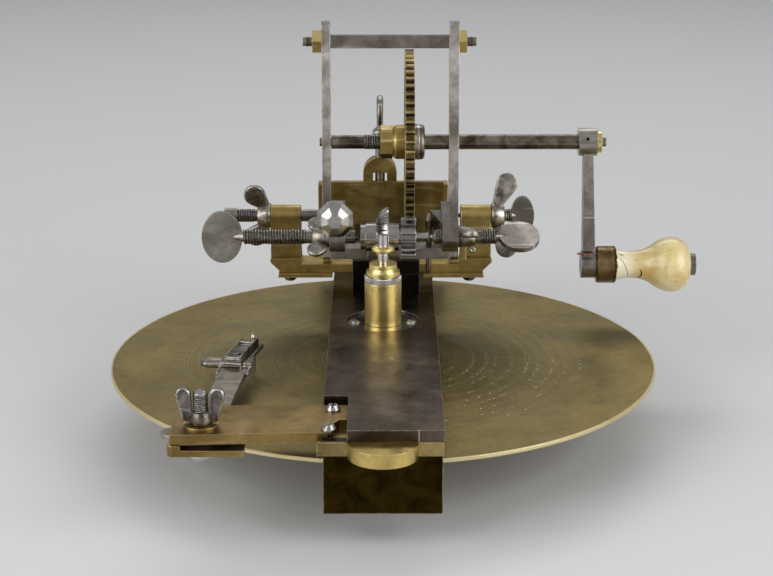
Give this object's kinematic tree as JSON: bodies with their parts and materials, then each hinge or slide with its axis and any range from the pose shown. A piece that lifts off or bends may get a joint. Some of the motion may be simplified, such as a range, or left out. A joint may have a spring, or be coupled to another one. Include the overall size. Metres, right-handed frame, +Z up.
{
  "type": "wheel cutting engine",
  "caption": "Clockmaker's hand-cranked wheel cutting engine: dividing plate on a vertical arbor under a bed, index arm, sliding carriage and swinging geared cutter frame.",
  "frame": {"origin": "on the floor under the dividing arbor's axis, in the underside of the block that is held in the vice", "axes": "+Z up along the arbor and work spindle, +Y back along the bed away from the viewer of the picture, +X to the right, towards the crank"},
  "size_m": [0.3328, 0.389, 0.2151],
  "materials": {
    "brass": "aged, filed and rubbed brass with darker patches",
    "plate_brass": "dull olive-brown brass with scribed division circles and a bright rim",
    "ferrule_brass": "brown tarnished brass",
    "steel": "worn bright steel with fine pitting",
    "dark_steel": "dark brown-grey steel, filed, bright along its edges",
    "black_steel": "near-black steel, smooth",
    "iron": "dark iron",
    "ivory": "polished old ivory or bone, cream with ochre patches and a fine crack"
  },
  "bodies": {
    "frame": {"bed": "dark_steel", "under_bar": "brass", "front_foot": "brass", "rear_foot": "brass", "lower_bar": "dark_steel", "vice_block": "iron", "footstep": "brass", "bearing_bush": "steel", "slotted_screws": "steel", "index_bracket": "brass", "index_clamp_plate": "brass", "index_stud": "steel", "index_washer": "brass"},
    "index_wing_nut": {"index_wing_nut": "steel"},
    "index_arm": {"index_arm": "steel"},
    "index_slider": {"index_slider": "steel", "index_pointer": "steel"},
    "spindle": {"arbor": "steel", "dividing_plate": "plate_brass", "plate_nut": "brass", "barrel": "brass", "collet_ring": "steel", "collet": "brass"},
    "work_nut": {"work_nut": "steel"},
    "carriage": {"saddle": "black_steel", "yoke": "brass", "yoke_strip": "brass", "yoke_screws": "steel", "rear_plate": "brass", "gibs": "brass", "clamp_arch": "brass"},
    "clamp_screw": {"clamp_screw": "steel"},
    "swing_frame": {"upright_left": "steel", "upright_right": "steel", "top_bar": "steel", "top_nuts": "brass", "cheek_left": "brass", "cheek_right": "brass", "crossbar": "brass"},
    "clamp_knob": {"clamp_knob": "steel"},
    "stop_screw": {"stop_screw": "steel"},
    "centre_screw_left": {"centre_screw_left": "steel"},
    "centre_screw_right": {"centre_screw_right": "steel"},
    "centre_nut_left": {"centre_nut_left": "steel"},
    "centre_nut_right": {"centre_nut_right": "steel"},
    "pivot_screw_left": {"pivot_screw_left": "steel"},
    "pivot_screw_right": {"pivot_screw_right": "steel"},
    "pivot_nut_left": {"pivot_nut_left": "steel"},
    "pivot_nut_right": {"pivot_nut_right": "steel"},
    "cutter": {"cutter_arbor": "steel", "cutter": "steel", "cutter_collar": "brass", "pinion": "brass"},
    "crank": {"crank_shaft": "steel", "crank_arm": "steel", "crank_nut": "brass", "drive_gear": "brass", "gear_fasteners": "brass"},
    "handle": {"handle_ferrule": "ferrule_brass", "handle_grip": "ivory"}
  },
  "joints": [
    {"name": "spindle_turn", "type": "hinge", "parent": "frame", "child": "spindle", "pos_m": [0, 0, 0.0392], "axis": [0, 0, 1], "continuous": true},
    {"name": "work_nut_turn", "type": "hinge", "parent": "spindle", "child": "work_nut", "pos_m": [0, 0, 0.102], "axis": [0, 0, 1], "range_deg": [0, 180]},
    {"name": "index_wing_nut_turn", "type": "hinge", "parent": "frame", "child": "index_wing_nut", "pos_m": [-0.087, -0.15, 0.06], "axis": [0, 0, 1], "range_deg": [0, 180]},
    {"name": "index_arm_swing", "type": "hinge", "parent": "frame", "child": "index_arm", "pos_m": [-0.087, -0.15, 0.0514], "axis": [0, 0, 1], "range_deg": [-10, 25]},
    {"name": "index_slide", "type": "slide", "parent": "index_arm", "child": "index_slider", "axis": [0.0889, 0.996, 0], "range_m": [-0.008, 0.012]},
    {"name": "carriage_slide", "type": "slide", "parent": "frame", "child": "carriage", "axis": [0, 1, 0], "range_m": [-0.002, 0.045]},
    {"name": "clamp_screw_turn", "type": "hinge", "parent": "carriage", "child": "clamp_screw", "pos_m": [-0.0019, 0.1382, 0.12], "axis": [0, 0, 1], "range_deg": [0, 180]},
    {"name": "cutter_frame_swing", "type": "hinge", "parent": "carriage", "child": "swing_frame", "pos_m": [0, 0.065, 0.1036], "axis": [1, 0, 0], "range_deg": [-22, 0]},
    {"name": "clamp_knob_turn", "type": "hinge", "parent": "swing_frame", "child": "clamp_knob", "pos_m": [-0.0266, 0.0194, 0.1144], "axis": [0, 1, 0], "range_deg": [0, 180]},
    {"name": "stop_screw_turn", "type": "hinge", "parent": "swing_frame", "child": "stop_screw", "pos_m": [0.0263, 0.053, 0.09], "axis": [0, 0, 1], "range_deg": [0, 180]},
    {"name": "pivot_screw_left_turn", "type": "hinge", "parent": "carriage", "child": "pivot_screw_left", "pos_m": [-0.06, 0.065, 0.1036], "axis": [1, 0, 0], "range_deg": [0, 180]},
    {"name": "pivot_screw_right_turn", "type": "hinge", "parent": "carriage", "child": "pivot_screw_right", "pos_m": [0.06, 0.065, 0.1036], "axis": [1, 0, 0], "range_deg": [0, 180]},
    {"name": "pivot_nut_left_turn", "type": "hinge", "parent": "carriage", "child": "pivot_nut_left", "pos_m": [-0.069, 0.065, 0.1036], "axis": [1, 0, 0], "range_deg": [0, 180]},
    {"name": "pivot_nut_right_turn", "type": "hinge", "parent": "carriage", "child": "pivot_nut_right", "pos_m": [0.066, 0.065, 0.1036], "axis": [1, 0, 0], "range_deg": [0, 180]},
    {"name": "centre_screw_left_turn", "type": "hinge", "parent": "swing_frame", "child": "centre_screw_left", "pos_m": [-0.026, 0.028, 0.1012], "axis": [1, 0, 0], "range_deg": [0, 180]},
    {"name": "centre_screw_right_turn", "type": "hinge", "parent": "swing_frame", "child": "centre_screw_right", "pos_m": [0.038, 0.028, 0.1012], "axis": [1, 0, 0], "range_deg": [0, 180]},
    {"name": "centre_nut_left_turn", "type": "hinge", "parent": "swing_frame", "child": "centre_nut_left", "pos_m": [-0.035, 0.028, 0.1012], "axis": [1, 0, 0], "range_deg": [0, 180]},
    {"name": "centre_nut_right_turn", "type": "hinge", "parent": "swing_frame", "child": "centre_nut_right", "pos_m": [0.047, 0.028, 0.1012], "axis": [1, 0, 0], "range_deg": [0, 180]},
    {"name": "crank_turn", "type": "hinge", "parent": "swing_frame", "child": "crank", "pos_m": [0.04, 0.0696, 0.1461], "axis": [1, 0, 0], "continuous": true},
    {"name": "cutter_spin", "type": "hinge", "parent": "swing_frame", "child": "cutter", "pos_m": [0, 0.028, 0.1012], "axis": [1, 0, 0], "continuous": true},
    {"name": "handle_spin", "type": "hinge", "parent": "crank", "child": "handle", "pos_m": [0.15, 0.0696, 0.0726], "axis": [1, 0, 0], "continuous": true}
  ],
  "couplings": [
    {"joint": "cutter_spin", "follows": "crank_turn", "ratio": -5}
  ]
}
